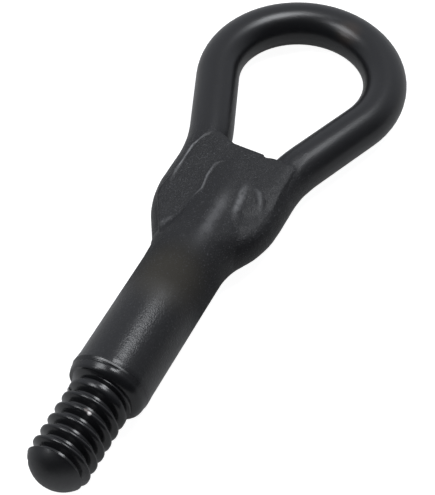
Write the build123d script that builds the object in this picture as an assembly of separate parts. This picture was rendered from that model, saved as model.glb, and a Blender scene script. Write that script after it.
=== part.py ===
"""Screw-in tow eye for a car: one forging, in millimetres.

A round bar is bent into the eye, both of its ends are forged together into a flat collar and a
plain shank, and a coarse left-hand thread is rolled on the shank's end. Nothing on it comes apart.

+X runs along the shank towards the eye, +Z is square to the plane of the eye, and the origin is on
the shank's axis at the rim of the shoulder that stops the thread.
"""

from build123d import *
from math import asin, atan2, ceil, cos, degrees, pi, radians, sin, sqrt, tan
import os

# Thread
thread_d = 15.8
thread_pitch = 3.3
thread_crest = 0.5
thread_edge = 0.3
thread_root = 0.5
thread_flank_deg = 30.0
thread_inset = 4.0
thread_end_deg = 12.0
thread_fade = 0.8
crest_length = 24.6
tip_dome_r = 8.4
groove_clearance = 0.2

# Shoulder and shank
shank_d = 20.0
shank_length = 39.5
rim_d = 20.5
rim_flare = 2.9
rim_groove_run = 0.9
rim_groove_depth = 0.5
seat_start = 1.4
seat_rise = 0.2
seat_length = 0.7
seat_drop = 0.2
seat_round = 1.7

# Eye: one round bar, bent, whose two ends run into the shank
bar_d = 12.0
eye_centre = 110.9
eye_bend_r = 23.1
eye_offset = 0.7
leg_deg = 21.7
leg_right = 10.95
leg_left = 11.45
neck_bend_r = 40.0
root_length = 8.0
lobe_bend_r = 20.0
lobe_deg = 30.0
lobe_tail = 10.0

# Plate forged across the two ends of the bar
plate_end = 77.0
plate_thick = 12.8
plate_thin = 12.2
plate_edge_r = 0.5
plate_corner_r = 1.0
plate_tail = 2.0
panel_right = 13.6
panel_root_x = 62.0
panel_foot_x = 53.6
panel_foot_y = 6.9
panel_round = 1.5
panel_corner_r = 6.0
cheek_x = 53.6
cheek_y = 15.5
cheek_r = 5.0
tab_reach = 3.7
tab_y = 13.1
tab_r = 3.2
tab_root_y = 4.9
notch_y = -3.6
notch_depth = 1.0
notch_run = 0.7
notch_r = 0.8
notch_sweep = 2.0

# Ridge that carries the shank's crown up between the two ends of the bar
ridge_taper = 18.0
ridge_steps = 4
ridge_swell = 0.09
ridge_base = 5.6
ridge_step_z = 6.7
ridge_step_run = 0.35
ridge_toe_z = 3.6
ridge_left = 6.0
ridge_right = 13.8
ridge_side = 15.8
ridge_crown = 7.15
ridge_end_x = 73.0
ridge_end_left = 5.0
ridge_end_right = 9.0
ridge_end_side = 10.0
ridge_end_crown = 6.2
ridge_end_step = 6.15

thread_r = thread_d / 2
shank_r = shank_d / 2
rim_r = rim_d / 2
bar_r = bar_d / 2


def across(x):
    """Plane square to the shank at x, with its own x along +Y and its own y along +Z."""
    return Plane(origin=(x, 0, 0), x_dir=(0, 1, 0), z_dir=(1, 0, 0))


def turned_shank():
    """Domed tip, thread blank, shoulder and plain shank, turned about X."""
    dome_centre = -crest_length + sqrt(tip_dome_r**2 - thread_r**2)
    half_dome = asin(thread_r / tip_dome_r) / 2
    tip = (dome_centre - tip_dome_r, 0)
    dome_mid = (dome_centre - tip_dome_r * cos(half_dome), tip_dome_r * sin(half_dome))
    crest_tip = (-crest_length, thread_r)
    rim_groove = (-rim_groove_run, rim_r - rim_groove_depth)
    seat_top = (-seat_start, rim_groove[1] + seat_rise)
    seat_edge = (seat_top[0] - seat_length, seat_top[1] - seat_drop)
    crest_end = (seat_edge[0] - seat_round, thread_r)
    rim_top = (0, rim_r)
    flare_end = (rim_flare, shank_r)
    shank_end = (shank_length, shank_r)
    outline = [
        ThreePointArc(tip, dome_mid, crest_tip),
        Line(crest_tip, crest_end),
        Edge.make_tangent_arc(seat_edge, (-seat_length, -seat_drop), crest_end),
        Line(seat_edge, seat_top),
        Line(seat_top, rim_groove),
        Line(rim_groove, rim_top),
        Line(rim_top, flare_end),
        Line(flare_end, shank_end),
        Line(shank_end, (shank_length, 0)),
        Line((shank_length, 0), tip),
    ]
    return revolve(make_face(Wire(outline)), Axis.X)


def groove_section(path, lift):
    """Section of the thread's groove at the start of its path, lifted out of its full depth."""
    crest_half = (thread_pitch - thread_crest) / 2
    edge_half = crest_half - thread_edge
    root_half = thread_root / 2
    depth = thread_edge + (edge_half - root_half) / tan(radians(thread_flank_deg))
    reach = rim_r - thread_r + groove_clearance
    side = [
        (lift - depth, root_half),
        (lift - thread_edge, edge_half),
        (lift, crest_half),
        (lift + reach, crest_half),
    ]
    other_side = [(out, -along) for out, along in reversed(side)]
    start = path @ 0
    outward = Vector(0, start.Y, start.Z).normalized()
    section = make_face(Polyline(*side, *other_side, close=True))
    return Plane(origin=start, x_dir=outward, z_dir=path % 0) * section


def thread_cuts():
    """The left-hand groove, turn by turn: it runs out straight and shallow at the shoulder."""
    path = Helix(
        pitch=thread_pitch,
        height=thread_pitch,
        radius=thread_r,
        direction=(-1, 0, 0),
        lefthand=True,
    )
    start = path @ 0
    place = Pos(-thread_inset, 0, 0) * Rot(thread_end_deg - degrees(atan2(start.Z, start.Y)), 0, 0)
    shallow = groove_section(path, thread_fade)
    runout = place * extrude(shallow, amount=thread_r, dir=-(path % 0))
    first = place * sweep(shallow, path=path, is_frenet=True)
    turn = place * sweep(groove_section(path, 0), path=path, is_frenet=True)
    turns = ceil((crest_length - thread_inset) / thread_pitch)
    return [runout, first] + [Pos(-thread_pitch * count, 0, 0) * turn for count in range(1, turns)]


def bar_line(leg_y):
    """Corner points of one half of the bar's centre line, drawn on -Y, from the shank to the eye."""
    turn = radians(leg_deg)
    lobe_turn = radians(lobe_deg)
    bend = Vector(eye_centre - eye_bend_r * sin(turn), -eye_bend_r * cos(turn))
    leg_drop = -bend.Y - leg_y - neck_bend_r * (1 - cos(turn))
    leg = Vector(bend.X - leg_drop / tan(turn), bend.Y + leg_drop)
    neck = Vector(leg.X - neck_bend_r * sin(turn), -leg_y)
    root = Vector(neck.X - root_length, -leg_y)
    lobe = root + Vector(-lobe_bend_r * sin(lobe_turn), lobe_bend_r * (1 - cos(lobe_turn)))
    tail = lobe + Vector(-lobe_tail * cos(lobe_turn), lobe_tail * sin(lobe_turn))
    return tail, lobe, root, neck, leg, bend


def bar_half(leg_y):
    """Half of the bar on -Y: it runs out of the shank, bends into a straight leg and into the eye."""
    tail, lobe, root, neck, leg, bend = bar_line(leg_y)
    apex = Vector(eye_centre + eye_bend_r, 0)
    path = Wire(
        [
            Line(tail, lobe),
            Edge.make_tangent_arc(lobe, lobe - tail, root),
            Line(root, neck),
            Edge.make_tangent_arc(neck, neck - root, leg),
            Line(leg, bend),
            Edge.make_tangent_arc(bend, bend - leg, apex),
        ]
    )
    profile = Plane(origin=path @ 0, z_dir=path % 0) * Circle(bar_r)
    return sweep(profile, path=path)


def eye():
    """The bar of the eye, whose two halves meet at its far end."""
    return Pos(0, eye_offset, 0) * (bar_half(leg_right) + mirror(bar_half(leg_left), about=Plane.XZ))


def plate():
    """The plate: crisp on +Y with a tab up one leg, rounded on -Y over the other, square at the eye."""
    tail_x = shank_length - plate_tail
    tail = Vector(tail_x, cheek_y - (cheek_x - tail_x) * tan(radians(lobe_deg)))
    cheek = Vector(cheek_x, cheek_y)
    tab = Vector(plate_end + tab_reach, tab_y)
    tab_root = Vector(plate_end, tab_root_y)
    right = [
        Vector(plate_end, -panel_right),
        Vector(panel_root_x, -panel_right),
        Vector(panel_foot_x, -panel_foot_y),
        Vector(tail_x, 0),
    ]
    plan = make_face(Polyline(tail, cheek, tab, tab_root, *right, close=True))
    plan = fillet(plan.vertices().sort_by_distance(cheek)[0], cheek_r)
    plan = fillet(plan.vertices().sort_by_distance(tab)[0], tab_r)
    plan = fillet(plan.vertices().sort_by_distance(tab_root)[0], plate_corner_r)
    plan = fillet([plan.vertices().sort_by_distance(point)[0] for point in right[1:3]], panel_corner_r)
    slab = make_face(
        Polyline(
            (cheek.Y, plate_thick / 2),
            (-panel_right, plate_thin / 2),
            (-panel_right, -plate_thin / 2),
            (cheek.Y, -plate_thick / 2),
            close=True,
        )
    )
    slab = extrude(across(tail_x) * slab, amount=tab.X - tail_x)
    body = extrude(plan, amount=plate_thick, both=True) & slab
    rims = body.faces().sort_by(Axis.Z)[-1].edges() + body.faces().sort_by(Axis.Z)[0].edges()
    soft = rims.filter_by(lambda edge: edge.center().Y < 0 and edge.center().X < plate_end - plate_edge_r)
    body = fillet(soft, panel_round)
    rims = body.faces().sort_by(Axis.Z)[-1].edges() + body.faces().sort_by(Axis.Z)[0].edges()
    crisp = rims.filter_by(lambda edge: edge.center().Y > 0)
    return fillet(crisp, plate_edge_r)


def notch():
    """The bite out of the plate's end, which sweeps forward into the inner side of the -Y leg."""
    deep = Vector(plate_end - notch_depth, notch_y - notch_run)
    lip = Vector(plate_end + notch_depth, notch_y + notch_run)
    bite = make_face(Polyline(lip, deep, Vector(deep.X + notch_sweep, -leg_right), close=True))
    bite = fillet(bite.vertices().sort_by_distance(deep)[0], notch_r)
    return extrude(bite, amount=plate_thick, both=True)


def ridge_section(x, share, spread, left, right, side, crown, step_z):
    """Section of the ridge at x: the shank's circle at share 0, a low crown with a step on +Y at 1."""
    round_foot = sqrt(shank_r**2 - ridge_base**2)
    round_step = sqrt(shank_r**2 - step_z**2)
    round_toe = sqrt(shank_r**2 - ridge_toe_z**2)

    def ease(start, end):
        return start + share * (end - start)

    foot = (ease(round_foot * spread, left), ridge_base)
    step = (ease(round_step * spread, left - ridge_step_run), step_z)
    top = (0, ease(shank_r, crown))
    toe = (ease(-round_toe, -right), ridge_toe_z)
    foot_down, step_down, top_down, toe_down = [(y, -z) for y, z in (foot, step, top, toe)]
    outline = [
        Line(foot, step),
        ThreePointArc(step, top, toe),
        ThreePointArc(toe, (ease(-shank_r, -side), 0), toe_down),
        ThreePointArc(toe_down, top_down, step_down),
        Line(step_down, foot_down),
        ThreePointArc(foot_down, (shank_r * spread, 0), foot),
    ]
    return across(x) * make_face(Wire(outline))


def ridge():
    """The shank spreading over the -Y end of the bar, then a low crown that sinks into the plate."""
    form = (ridge_left, ridge_right, ridge_side, ridge_crown, ridge_step_z)
    end_form = (ridge_end_left, ridge_end_right, ridge_end_side, ridge_end_crown, ridge_end_step)
    taper = []
    for count in range(ridge_steps + 1):
        way = count / ridge_steps
        x = shank_length + way * ridge_taper
        share = way**2 * (3 - 2 * way)
        spread = 1 + ridge_swell * sin(pi * min(1, 2 * way))
        taper.append(ridge_section(x, share, spread, *form))
    return loft(taper) + loft([taper[-1], ridge_section(ridge_end_x, 1, 1, *end_form)], ruled=True)


def build():
    """The forging, with the thread cut into it."""
    body = turned_shank() + ridge() + (plate() - notch()) + eye()
    for cut in thread_cuts():
        body -= cut
    return body


tow_eye = build()
print("tow eye: volume", round(tow_eye.volume), "valid", tow_eye.is_valid, "solids", len(tow_eye.solids()))
print("faces", len(tow_eye.faces()), "box", tow_eye.bounding_box())
os.makedirs("parts", exist_ok=True)
export_step(tow_eye, "parts/tow_eye.step")
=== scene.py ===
# %% [markdown]
# # A forged tow eye in Blender
#
# The part comes packed from CAD as one closed solid. This lesson keeps its form and its place, and
# gives it what the solid lacks: soft forged creases, the marks of the hammer, a black coating that
# changes along the part, a floor, soft light and a camera at the photo's angle.
#
# Blender works in metres, in the part's own frame: +X runs from the thread towards the eye, +Y to
# the left in the photo and +Z up. Places and sizes on the part are written in millimetres.

from math import atan, degrees, radians

import bpy
import numpy as np
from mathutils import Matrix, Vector


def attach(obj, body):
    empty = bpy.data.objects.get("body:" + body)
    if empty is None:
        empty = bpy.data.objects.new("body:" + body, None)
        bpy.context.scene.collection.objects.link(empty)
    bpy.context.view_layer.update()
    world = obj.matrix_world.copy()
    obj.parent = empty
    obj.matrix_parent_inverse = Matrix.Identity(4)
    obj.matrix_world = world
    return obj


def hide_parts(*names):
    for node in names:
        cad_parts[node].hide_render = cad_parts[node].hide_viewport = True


MM_PER_M = 1000

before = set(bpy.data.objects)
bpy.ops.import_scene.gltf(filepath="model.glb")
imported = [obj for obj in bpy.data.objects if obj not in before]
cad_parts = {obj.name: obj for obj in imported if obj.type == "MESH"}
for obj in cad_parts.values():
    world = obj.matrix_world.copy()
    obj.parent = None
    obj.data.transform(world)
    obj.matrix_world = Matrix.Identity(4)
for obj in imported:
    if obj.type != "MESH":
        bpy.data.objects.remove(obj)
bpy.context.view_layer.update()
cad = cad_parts["tow_eye"]
print("loaded", cad.name, "with", len(cad.data.polygons), "faces")

# %% [markdown]
# ## A skin to work on
#
# The CAD mesh is loose triangles, so it stays as it is and a copy becomes the skin that is seen.
# Merging the copy's doubled vertices makes it one closed surface. The normals that came with the
# file are cleared, so that Blender works them out from the surface again.

# %% Copy the part and merge its vertices
merge_within = 0.002 / MM_PER_M

bpy.ops.object.select_all(action="DESELECT")
cad.select_set(True)
bpy.context.view_layer.objects.active = cad
bpy.ops.object.duplicate()
skin = bpy.context.active_object
skin.name = "tow_eye_skin"
bpy.ops.mesh.customdata_custom_splitnormals_clear()
bpy.ops.object.mode_set(mode="EDIT")
bpy.ops.mesh.select_all(action="SELECT")
bpy.ops.mesh.remove_doubles(threshold=merge_within)
bpy.ops.mesh.select_all(action="DESELECT")
bpy.ops.mesh.select_non_manifold()
bpy.ops.object.mode_set(mode="OBJECT")
open_edges = sum(edge.select for edge in skin.data.edges)
print("skin:", len(skin.data.vertices), "vertices,", open_edges, "open edges")

# %% [markdown]
# ## Reading and selecting by place
#
# Three short helpers are used again and again. Two read the skin's vertices, in millimetres, and its
# edges as arrays. One selects what an array marks and opens Edit Mode on it. Selection is set in
# Object Mode, with everything else cleared first.

# %% Helpers that read and select
def places():
    flat = np.empty(len(skin.data.vertices) * 3)
    skin.data.vertices.foreach_get("co", flat)
    return flat.reshape(-1, 3) * MM_PER_M


def edge_ends():
    flat = np.empty(len(skin.data.edges) * 2, dtype=np.int32)
    skin.data.edges.foreach_get("vertices", flat)
    return flat.reshape(-1, 2)


def edit_only(kind, picked):
    for items in (skin.data.vertices, skin.data.edges, skin.data.polygons):
        items.foreach_set("select", np.zeros(len(items), dtype=bool))
    getattr(skin.data, kind).foreach_set("select", picked)
    bpy.context.tool_settings.mesh_select_mode = (kind == "vertices", kind == "edges", False)
    bpy.ops.object.mode_set(mode="EDIT")


low, high = places().min(axis=0).round(2), places().max(axis=0).round(2)
print("skin from", low, "to", high, "mm,", len(edge_ends()), "edges")

# %% [markdown]
# ## A finer mesh for the collar
#
# A flat face from CAD is a few long triangles, and there is nothing in them to bend. So the long
# edges in a box are halved again and again, until none is longer than asked. Triangulate tidies each
# pass, and Beautify turns the triangles' edges so that none stays thin.

# %% Halve the collar's long edges
most_passes = 12
beautify_angle = radians(5)
collar_edge = 0.8


def halve(low, high, longest):
    for turn in range(most_passes):
        ends = edge_ends()
        place = places()
        length = np.linalg.norm(place[ends[:, 0]] - place[ends[:, 1]], axis=1)
        middle = place[ends].mean(axis=1)
        picked = (length > longest) & (middle > low).all(axis=1) & (middle < high).all(axis=1)
        if not picked.any():
            break
        edit_only("edges", picked)
        bpy.ops.mesh.subdivide(number_cuts=1, ngon=False)
        bpy.ops.mesh.select_all(action="SELECT")
        bpy.ops.mesh.quads_convert_to_tris(quad_method="BEAUTY", ngon_method="BEAUTY")
        bpy.ops.object.mode_set(mode="OBJECT")
        place = places()
        edit_only("vertices", ((place > low) & (place < high)).all(axis=1))
        bpy.ops.mesh.beautify_fill(angle_limit=beautify_angle)
        bpy.ops.object.mode_set(mode="OBJECT")
    print("halved in", turn, "passes to", len(skin.data.polygons), "faces")


halve((37.0, -30.0, -12.0), (83.0, 30.0, 12.0), collar_edge)

# %% [markdown]
# ## Softer creases
#
# In the solid the plate, the ridge and the bar meet in sharp lines. In the forging they flow into
# each other. A Smooth modifier moves each vertex towards its neighbours, so a crease melts while the
# form around it stays. A vertex group holds it to one patch on both faces, with weights that fade out
# at the patch's border, so that no new line shows there. The rim's bead fades out on the right in the
# photo, so a patch melts it there too.

# %% Helpers that weigh vertices and smooth them
smooth_factor = 0.5
patch_fade = 2.0


def weigh(name, weight):
    group = skin.vertex_groups.new(name=name)
    for index in np.flatnonzero(weight):
        group.add([int(index)], float(weight[index]), "REPLACE")


def within(values, low, high, fade):
    return np.clip((values - low) / fade, 0, 1) * np.clip((high - values) / fade, 0, 1)


def soften(name, x_range, y_range, z_least, passes, fade=patch_fade):
    place = places()
    weight = within(place[:, 0], *x_range, fade) * within(place[:, 1], *y_range, fade)
    weight *= np.clip(np.abs(place[:, 2]) - z_least, 0, 1)
    weigh(name, weight)
    bpy.ops.object.modifier_add(type="SMOOTH")
    melt = skin.modifiers[-1]
    melt.vertex_group = name
    melt.factor = smooth_factor
    melt.iterations = passes
    bpy.ops.object.modifier_apply(modifier=melt.name)
    print("softened", name, "over", np.count_nonzero(weight), "vertices")


# %% Ease the facets of the file, then melt the creases patch by patch
any_z = -1.0

bpy.ops.object.select_all(action="DESELECT")
skin.select_set(True)
bpy.context.view_layer.objects.active = skin
soften("ease collar", (37.2, 75.6), (-40.0, 40.0), any_z, 2)
soften("ease right leg", (73.6, 82.8), (-40.0, -8.5), any_z, 2)
soften("ease left leg", (73.6, 82.8), (14.0, 40.0), any_z, 2)
soften("ease leg by tab", (79.8, 82.8), (0.0, 40.0), any_z, 2, fade=1.0)
soften("melt lobe", (46.0, 66.0), (-17.0, -4.5), 0.5, 18)
soften("melt right edge", (57.0, 82.0), (-17.5, -7.5), 1.0, 34)
soften("melt fold", (40.0, 72.0), (2.5, 9.5), 4.6, 3)
soften("melt ridge", (38.0, 60.0), (-13.0, 4.5), 2.4, 6)
soften("melt rim", (-3.6, 2.9), (-14.0, -1.5), any_z, 4, fade=3.0)

# %% Refine the upper face once more, and most where the thin lines run
face_edge = 0.4
line_edge = 0.24

halve((52.0, -13.0, 5.2), (78.0, 15.5, 9.0), face_edge)
soften("ease face", (51.0, 76.0), (-14.0, 16.0), 4.2, 4)
halve((54.0, 4.2, 5.2), (70.5, 7.4, 9.0), line_edge)
halve((58.0, 11.0, 4.6), (78.6, 15.8, 9.0), line_edge)

# %% [markdown]
# ## Marks of the hammer
#
# The collar has folds and laps: a thin raised line beside the ridge, a lip along the plate's left
# border, and a crumple and a curved fold on the right, with a hollow between them. The ridge has a
# crown, and the right border and the lobe fall away gently. A vertex group says where a mark lies,
# with weights that fade out beside its line and towards its ends, and a Displace modifier moves the
# vertices by their weights. Along the raised lines and the ridge a lighter colour is painted in as
# painted sheen, standing in for the highlights on their edges and walls, so an attribute on the mesh
# keeps how much for the coating.

# %% A helper that raises a line and notes how much painted sheen its top gets
upper_face = 4.0
taper_share = 0.3
end_weight = 0.3
# How much painted sheen each vertex gets: a lighter colour that stands in for highlights.
painted_sheen = np.zeros(len(skin.data.vertices))


def mark(name, line, width, height, sheen_share=0.0):
    place = places()
    line = np.array(line)
    length = np.linalg.norm(np.diff(line, axis=0), axis=1)
    reached = np.concatenate([[0], np.cumsum(length)]) / length.sum()
    near = np.full(len(place), np.inf)
    share = np.zeros(len(place))
    for count, start in enumerate(line[:-1]):
        run = line[count + 1] - start
        along = np.clip((place[:, :2] - start) @ run / (run @ run), 0, 1)
        away = np.linalg.norm(place[:, :2] - start - along[:, None] * run, axis=1)
        closer = away < near
        near[closer] = away[closer]
        share[closer] = (reached[count] + along * (reached[count + 1] - reached[count]))[closer]
    weight = np.clip(1 - (near / width) ** 2, 0, 1) ** 2
    from_end = np.clip(np.minimum(share, 1 - share) / taper_share, 0, 1)
    weight *= end_weight + (1 - end_weight) * from_end
    weight[place[:, 2] < upper_face] = 0
    weigh(name, weight)
    # Painted sheen: the mark's top gets a lighter colour share, a painted highlight on its edges and
    # walls.
    np.maximum(painted_sheen, sheen_share * weight ** 2, out=painted_sheen)
    bpy.ops.object.modifier_add(type="DISPLACE")
    push = skin.modifiers[-1]
    push.vertex_group = name
    push.direction = "Z"
    push.mid_level = 0.0
    push.strength = height / MM_PER_M
    bpy.ops.object.modifier_apply(modifier=push.name)
    print("mark", name, "is", height, "mm high")


# %% Round the forms between the marks
mark("crown", [(64.0, 0.7), (56.0, 0.5), (47.0, 0.2)], 5.0, 0.4)
# The ridge sheen is a painted highlight along the ridge's crown, with almost no height.
ridge_sheen = [(63.0, -1.0), (53.5, -1.8), (47.3, -2.3), (39.5, -2.8)]
mark("ridge sheen", ridge_sheen, 3.0, 0.03, sheen_share=0.32)
right_border = [(81.0, -12.8), (76.0, -12.6), (69.0, -12.4), (62.5, -11.6), (55.0, -9.8)]
mark("right round", right_border, 1.9, -0.3)
mark("lobe round", [(65.0, -12.4), (59.0, -11.2), (52.0, -10.0)], 4.2, -0.35)
mark("hollow", [(63.6, -6.2), (57.0, -8.6)], 3.0, -0.15)

# %% Raise the folds and the laps, and keep how much painted sheen they get
crumple = [(66.2, -4.1), (64.6, -4.3), (62.0, -4.7), (59.2, -5.2), (56.2, -5.6), (53.4, -6.8)]
mark("crumple", crumple, 1.8, 0.32, sheen_share=0.58)
curved_fold = [(65.6, -6.2), (64.4, -8.2), (62.2, -9.8), (60.5, -10.6), (59.0, -10.8)]
mark("curved fold", curved_fold, 1.4, 0.22, sheen_share=0.28)
lap_start = [(70.0, 4.9), (68.5, 6.1), (66.0, 6.2), (63.7, 6.2)]
lap_end = [(61.2, 5.7), (59.2, 5.4), (54.5, 6.5)]
mark("lap", lap_start + lap_end, 0.6, 0.18, sheen_share=0.55)
plate_lip = [(78.2, 11.6), (76.0, 13.1), (71.8, 14.6), (65.4, 14.3), (58.0, 13.9)]
mark("plate lip", plate_lip, 0.7, 0.1, sheen_share=0.9)
mark("foot fold", [(43.0, 10.0), (46.0, 8.8), (48.6, 7.6)], 1.0, 0.12, sheen_share=0.2)
# The painted sheen shares go to the coating as a mesh attribute.
bpy.ops.geometry.attribute_add(name="painted_sheen", domain="POINT", data_type="FLOAT")
skin.data.attributes["painted_sheen"].data.foreach_set("value", painted_sheen)
print("rubbed at", np.count_nonzero(painted_sheen), "vertices")

# %% [markdown]
# ## An uneven face
#
# Between the marks the forged face still isn't flat. One more Displace uses a procedural cloud
# texture, and its vertex group fades in at the shank and out at the legs.

# %% Make the collar's face uneven
cloud_size = 5.5
cloud_height = 0.14
cloud_fade = 8.0

forged = within(places()[:, 0], 37.0, 83.0, cloud_fade)
weigh("forged", forged)
clouds = bpy.data.textures.new("hammered", "CLOUDS")
clouds.noise_scale = cloud_size / MM_PER_M
clouds.noise_depth = 2
bpy.ops.object.modifier_add(type="DISPLACE")
push = skin.modifiers[-1]
push.texture = clouds
push.vertex_group = "forged"
push.strength = cloud_height / MM_PER_M
bpy.ops.object.modifier_apply(modifier=push.name)
print("uneven over", np.count_nonzero(forged), "vertices")

# %% [markdown]
# ## Smooth shading with crisp edges
#
# Shade Smooth by Angle keeps an edge crisp where the surface turns by more than the angle. The
# thread's crests are rounded in the photo, so in the thread only the sharpest edges stay crisp.

# %% Shade the skin
crisp_angle = radians(28)
thread_crisp_angle = radians(52)
thread_end_x = -3.6

bpy.ops.object.shade_smooth_by_angle(angle=crisp_angle)
edit_only("edges", places()[edge_ends(), 0].max(axis=1) < thread_end_x)
bpy.ops.mesh.mark_sharp(clear=True)
bpy.ops.mesh.select_all(action="DESELECT")
bpy.ops.mesh.edges_select_sharp(sharpness=thread_crisp_angle)
bpy.ops.mesh.mark_sharp()
bpy.ops.object.mode_set(mode="OBJECT")
crisp = sum(edge.use_edge_sharp for edge in skin.data.edges)
print(crisp, "crisp edges,", len(skin.data.polygons), "faces in the skin")

# %% [markdown]
# ## The black coating
#
# One material covers the whole part. Its gloss and grain change along X, as they do in the photo: a
# matte tip, a glossy thread, a finely grained shank, a matte grainy collar and a smooth eye. A colour
# ramp along X holds each of those values. A stop is placed as it is made, because moving it later
# sorts the ramp again.

# %% Start the material
tip_x, eye_x = -30, 140

coat = bpy.data.materials.new("coated_steel")
coat.use_nodes = True
nodes = coat.node_tree.nodes
links = coat.node_tree.links
shader = nodes["Principled BSDF"]
where = nodes.new("ShaderNodeTexCoord")
axes = nodes.new("ShaderNodeSeparateXYZ")
links.new(where.outputs["Object"], axes.inputs["Vector"])
position = nodes.new("ShaderNodeMapRange")
position.inputs["From Min"].default_value = tip_x / MM_PER_M
position.inputs["From Max"].default_value = eye_x / MM_PER_M
links.new(axes.outputs["X"], position.inputs["Value"])
skin.data.materials.clear()
skin.data.materials.append(coat)


def along_x(name, stops):
    ramp = nodes.new("ShaderNodeValToRGB")
    points = ramp.color_ramp.elements
    points.remove(points[1])
    for x, value in stops:
        point = points.new((x - tip_x) / (eye_x - tip_x))
        point.color = (value, value, value, 1.0)
    points.remove(points[0])
    links.new(position.outputs["Result"], ramp.inputs["Fac"])
    print(name, "has", len(points), "stops")
    return ramp.outputs["Color"]


# %% Set the gloss, the shine and the grain along the part
gloss_tip_to_shank = [(-26.5, 0.40), (-25, 0.25), (-3, 0.25), (1, 0.28), (18, 0.34), (23, 0.50)]
gloss_shank_to_eye = [(28, 0.80), (36, 0.80), (44, 0.44), (74, 0.40), (84, 0.32), (92, 0.29)]
gloss = along_x("gloss", gloss_tip_to_shank + gloss_shank_to_eye)
shine = along_x("shine", [(20, 0.50), (28, 0.46), (44, 0.34), (74, 0.34), (84, 0.50)])
grain_tip_to_shank = [(-28, 0.20), (-25, 0.03), (-2, 0.03), (1, 0.35), (30, 0.8)]
grain_collar_to_eye = [(44, 1.0), (74, 0.9), (84, 0.14)]
grain = along_x("grain", grain_tip_to_shank + grain_collar_to_eye)
links.new(gloss, shader.inputs["Roughness"])
links.new(shine, shader.inputs["Specular IOR Level"])

# %% [markdown]
# The grain is a bump: a fine noise with a coarser one under it, as strong as the ramp says. It is far
# too fine to be modelled.

# %% Add the grain
fine_scale = 2600.0
coarse_scale = 800.0
coarse_share = 0.5
grain_depth = 0.14


def noise(scale):
    texture = nodes.new("ShaderNodeTexNoise")
    texture.inputs["Scale"].default_value = scale
    texture.inputs["Detail"].default_value = 2.0
    links.new(where.outputs["Object"], texture.inputs["Vector"])
    return texture.outputs["Fac"]


def product(first, second):
    node = nodes.new("ShaderNodeMath")
    node.operation = "MULTIPLY"
    links.new(first, node.inputs[0])
    links.new(second, node.inputs[1])
    return node.outputs["Value"]


fine = noise(fine_scale)
coarse = noise(coarse_scale)
both = nodes.new("ShaderNodeMath")
both.operation = "MULTIPLY_ADD"
both.inputs[1].default_value = coarse_share
links.new(coarse, both.inputs[0])
links.new(fine, both.inputs[2])
bump = nodes.new("ShaderNodeBump")
bump.inputs["Strength"].default_value = 1.0
bump.inputs["Distance"].default_value = grain_depth / MM_PER_M
links.new(product(both.outputs["Value"], grain), bump.inputs["Height"])
links.new(bump.outputs["Normal"], shader.inputs["Normal"])
print("grain is up to", grain_depth, "mm deep")

# %% [markdown]
# The coating isn't one black. There is a faint brown cast on the shank and worn bare metal on a
# thread's crest, whose glint is painted in as near-white colour. Painted in as colour too are a warm
# sheen inside the eye, a lighter lower side on the dome for the floor's reflection, a highlight along
# the rim, paler speckles in the grain for its glints, and sheen on the raised marks. A spot is a
# distance from a point, and a mix lays its colour over what is there.

# %% Helpers that make a share and lay a colour over another
spot_core = 0.2
black = (0.0075, 0.0077, 0.0088, 1.0)


def fall(value, full, none):
    step = nodes.new("ShaderNodeMapRange")
    step.interpolation_type = "SMOOTHSTEP"
    step.inputs["From Min"].default_value = none
    step.inputs["From Max"].default_value = full
    links.new(value, step.inputs["Value"])
    return step.outputs["Result"]


def spot(centre, radius):
    away = nodes.new("ShaderNodeVectorMath")
    away.operation = "DISTANCE"
    away.inputs[1].default_value = Vector(centre) / MM_PER_M
    links.new(where.outputs["Object"], away.inputs[0])
    return fall(away.outputs["Value"], radius * spot_core / MM_PER_M, radius / MM_PER_M)


def blend(under, share, colour):
    mix = nodes.new("ShaderNodeMix")
    mix.data_type = "RGBA"
    links.new(share, mix.inputs["Factor"])
    if under is None:
        mix.inputs["A"].default_value = black
    else:
        links.new(under, mix.inputs["A"])
    mix.inputs["B"].default_value = (*colour, 1.0)
    return mix.outputs["Result"]


# %% Tint the coating, wear a crest, and paint in highlights, sheen and a reflection
rim_x, rim_half_width = -0.3, 0.2

on_rim = nodes.new("ShaderNodeMath")
on_rim.operation = "COMPARE"
on_rim.inputs[1].default_value = rim_x / MM_PER_M
on_rim.inputs[2].default_value = rim_half_width / MM_PER_M
links.new(axes.outputs["X"], on_rim.inputs[0])
lines = nodes.new("ShaderNodeAttribute")
lines.attribute_name = "painted_sheen"
# A painted highlight along the rim's edge: a thin grey ring near the top of the rim.
painted_rim_highlight = product(spot((-0.2, -0.8, 10.0), 5.5), on_rim.outputs["Value"])
# Paler speckles in the grain, painted in as the grain's glints.
painted_speck_glints = product(fall(fine, 0.74, 0.58), grain)
# Painted sheen on the raised marks, broken up by the coarse noise.
painted_sheen_lines = product(lines.outputs["Fac"], fall(coarse, 0.56, 0.10))

layers = {
    "brown cast": (spot((29.0, -1.0, 9.5), 13.0), (0.024, 0.021, 0.015)),
    # A lighter lower side on the dome, painted in for the floor's reflection.
    "painted dome reflection": (spot((-28.5, -5.0, -1.0), 8.0), (0.080, 0.080, 0.082)),
    # The painted glints of the grain.
    "painted_speck_glints": (painted_speck_glints, (0.055, 0.055, 0.060)),
    # A warm tint painted inside the eye where the side lamp's streak lies, a painted warm sheen.
    "painted warm sheen in eye": (spot((129.8, -5.0, 5.1), 5.0), (0.030, 0.022, 0.018)),
    # Worn bare metal on a thread's crest, painted near-white as its glint, with a dimmer painted
    # glint beside it.
    "worn crest dim glint": (spot((-12.6, -1.4, 7.6), 1.0), (0.20, 0.17, 0.16)),
    "worn crest glint": (spot((-13.2, -2.3, 7.5), 0.7), (0.80, 0.76, 0.74)),
    # The painted highlight along the rim.
    "painted rim highlight": (painted_rim_highlight, (0.24, 0.24, 0.24)),
    "painted sheen lines": (painted_sheen_lines, (0.22, 0.22, 0.225)),
}
coating = None
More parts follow.
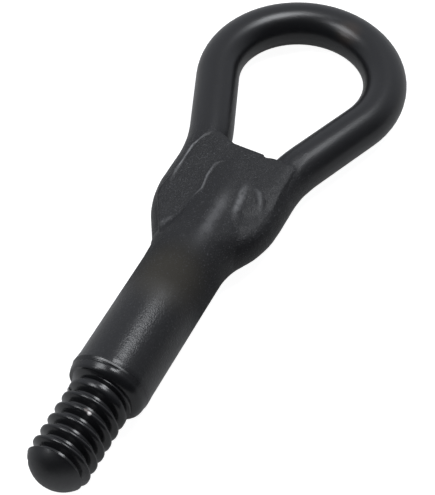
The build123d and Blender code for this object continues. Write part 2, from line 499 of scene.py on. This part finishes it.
for share, colour in layers.values():
    coating = blend(coating, share, colour)
links.new(coating, shader.inputs["Base Color"])
print("coating:", ", ".join(layers), "over black, in", len(nodes), "nodes")

# %% [markdown]
# ## Floor
#
# The part lies with its rim and its eye on a pale floor. The floor is white to the camera and keeps a
# faint shadow, and it shows a little in the gloss too.

# %% Lay the floor so that the rim and the eye touch it
rim_bottom = (0.0, -10.25)
eye_bottom = (134.0, -6.0)
clearance = 0.2
floor_size = 6.0

slope = (eye_bottom[1] - rim_bottom[1]) / (eye_bottom[0] - rim_bottom[0])
bpy.ops.mesh.primitive_plane_add(size=floor_size)
floor = bpy.context.active_object
floor.name = "floor"
for corner in floor.data.vertices:
    run = corner.co.x * MM_PER_M - rim_bottom[0]
    corner.co.z = (rim_bottom[1] + slope * run - clearance) / MM_PER_M
print("floor tilted by", round(degrees(atan(slope)), 2), "degrees")

# %% Make the floor white to the camera, with the part's shadow on it
white_to_camera = 0.95
white_in_gloss = 0.15

paper = bpy.data.materials.new("paper")
paper.use_nodes = True
tree = paper.node_tree
base = tree.nodes["Principled BSDF"]
base.inputs["Base Color"].default_value = (0.4, 0.4, 0.4, 1.0)
base.inputs["Roughness"].default_value = 0.9
base.inputs["Specular IOR Level"].default_value = 0.1
path = tree.nodes.new("ShaderNodeLightPath")
seen = tree.nodes.new("ShaderNodeMath")
seen.operation = "MULTIPLY"
seen.inputs[1].default_value = white_to_camera
tree.links.new(path.outputs["Is Camera Ray"], seen.inputs[0])
mirrored = tree.nodes.new("ShaderNodeMath")
mirrored.operation = "MULTIPLY_ADD"
mirrored.inputs[1].default_value = white_in_gloss
tree.links.new(path.outputs["Is Glossy Ray"], mirrored.inputs[0])
tree.links.new(seen.outputs["Value"], mirrored.inputs[2])
base.inputs["Emission Color"].default_value = (1.0, 1.0, 1.0, 1.0)
tree.links.new(mirrored.outputs["Value"], base.inputs["Emission Strength"])
floor.data.materials.append(paper)
print("floor material:", len(tree.nodes), "nodes")

# %% [markdown]
# ## Light
#
# A black part shows what it mirrors, so the light is made for its gloss. The room is dim in front and
# brighter behind the part, which lifts the flat collar. Two softboxes draw the long streaks on the
# shank and the eye, and a small one at the side draws the thin one on the left.

# %% Light the room: dim in front, brighter behind the part
bright_side = (0.87, 0.5, 0.0)
change_over = 0.55
dim, bright = 0.04, 0.62

world = bpy.data.worlds.new("studio")
bpy.context.scene.world = world
world.use_nodes = True
room = world.node_tree
sky = room.nodes["Background"]
sky.inputs["Color"].default_value = (0.94, 0.97, 1.04, 1.0)
look = room.nodes.new("ShaderNodeTexCoord")
facing = room.nodes.new("ShaderNodeVectorMath")
facing.operation = "DOT_PRODUCT"
facing.inputs[1].default_value = bright_side
glow = room.nodes.new("ShaderNodeMapRange")
glow.interpolation_type = "SMOOTHSTEP"
glow.inputs["From Min"].default_value = -change_over
glow.inputs["From Max"].default_value = change_over
glow.inputs["To Min"].default_value = dim
glow.inputs["To Max"].default_value = bright
room.links.new(look.outputs["Generated"], facing.inputs[0])
room.links.new(facing.outputs["Value"], glow.inputs["Value"])
room.links.new(glow.outputs["Result"], sky.inputs["Strength"])
print("room from", dim, "to", bright)

# %% Add a softbox overhead, a second on the left and a small one at the side
part_middle = Vector((0.055, 0.0, 0.0))
cool_white = (0.95, 0.97, 1.0)


def softbox(name, place, size, power):
    bpy.ops.object.light_add(type="AREA", location=place)
    lamp = bpy.context.active_object
    lamp.name = name
    lamp.data.shape = "SQUARE"
    lamp.data.size = size
    lamp.data.energy = power
    lamp.data.color = cool_white
    lamp.rotation_euler = (part_middle - Vector(place)).to_track_quat("-Z", "Y").to_euler()
    print("softbox", name, "is", size, "m wide, with", power, "W")


softbox("overhead", (0.297, -0.098, 0.756), 0.30, 2.95)
softbox("left", (-0.11, 0.353, 0.675), 0.28, 1.8)
softbox("side", (-0.34, 0.456, 0.525), 0.10, 0.4)

# %% [markdown]
# ## Camera
#
# The camera's place, turn and lens were fitted to the part's outline in the photo.

# %% Place the camera at the photo's angle
camera_place = (-0.1705, -0.1097, 0.30749)
camera_turn = (38.279, -0.470, -63.719)

bpy.ops.object.camera_add(location=camera_place)
camera = bpy.context.active_object
camera.rotation_euler = [radians(angle) for angle in camera_turn]
camera.data.lens = 112.744
camera.data.sensor_width = 36.0
bpy.context.scene.camera = camera
bpy.context.scene.view_settings.view_transform = "Standard"
print("camera with a", round(camera.data.lens, 1), "mm lens")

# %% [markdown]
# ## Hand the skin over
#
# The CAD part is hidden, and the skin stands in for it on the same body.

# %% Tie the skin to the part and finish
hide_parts("tow_eye")
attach(skin, "root")
